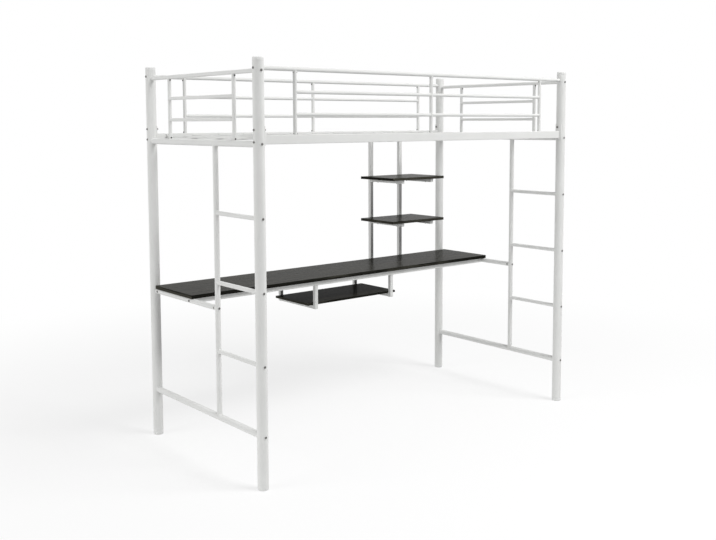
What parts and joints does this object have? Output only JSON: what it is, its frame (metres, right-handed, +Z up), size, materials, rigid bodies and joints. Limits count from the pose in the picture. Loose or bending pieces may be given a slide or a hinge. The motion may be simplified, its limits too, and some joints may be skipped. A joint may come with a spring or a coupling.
{
  "type": "loft bed with desk",
  "caption": "White metal loft bed with guard rails and a ladder in each end frame, over a long dark wood desk with small shelves and a keyboard tray.",
  "frame": {"origin": "on the floor, midway between the four posts", "axes": "+X along the bed, towards the shelves; +Y from the open front to the desk's back edge; +Z up"},
  "size_m": [2.097, 1.023, 1.885],
  "materials": {
    "white_paint": "white powder coat, satin",
    "white_plastic": "satin white plastic",
    "wood_boards": "black-brown wood grain, satin",
    "dark_hardware": "darkened steel"
  },
  "bodies": {
    "root": {"barrel_nuts": "dark_hardware", "board_screws": "dark_hardware", "bottom_rail_left": "white_paint", "bottom_rail_right": "white_paint", "desk_back_rail": "white_paint", "desk_end_bar_left": "white_paint", "desk_end_bar_right": "white_paint", "desk_front_rail": "white_paint", "desk_rail_bolts": "dark_hardware", "desk_top": "wood_boards", "end_bed_rail_left": "white_paint", "end_bed_rail_right": "white_paint", "end_guard_left": "white_paint", "end_guard_right": "white_paint", "end_top_rail_left": "white_paint", "end_top_rail_right": "white_paint", "foot_caps": "white_plastic", "guard_panel_back": "white_paint", "guard_panel_front": "white_paint", "guard_pegs": "dark_hardware", "guard_screws": "dark_hardware", "guard_top_rail_back": "white_paint", "guard_top_rail_front": "white_paint", "hanger_bolts": "dark_hardware", "hex_nuts": "dark_hardware", "keyboard_tray": "wood_boards", "ladder_stile_left": "white_paint", "ladder_stile_right": "white_paint", "post_back_left": "white_paint", "post_back_right": "white_paint", "post_bolts": "dark_hardware", "post_front_left": "white_paint", "post_front_right": "white_paint", "round_tube_plugs": "dark_hardware", "rung_left_1": "white_paint", "rung_left_2": "white_paint", "rung_left_3": "white_paint", "rung_right_1": "white_paint", "rung_right_2": "white_paint", "rung_right_3": "white_paint", "saddle_bolts": "dark_hardware", "shelf_lower": "wood_boards", "shelf_upper": "wood_boards", "shelf_upright_left": "white_paint", "shelf_upright_right": "white_paint", "side_rail_back": "white_paint", "side_rail_front": "white_paint", "slat_screws": "dark_hardware", "slat_seats": "white_paint", "slats": "white_paint", "square_tube_plugs": "white_plastic", "stile_bolts": "dark_hardware", "threaded_square_plugs": "dark_hardware", "top_caps": "white_plastic", "tray_hanger_left": "white_paint", "tray_hanger_right": "white_paint", "upright_bolts": "dark_hardware"}
  },
  "joints": []
}
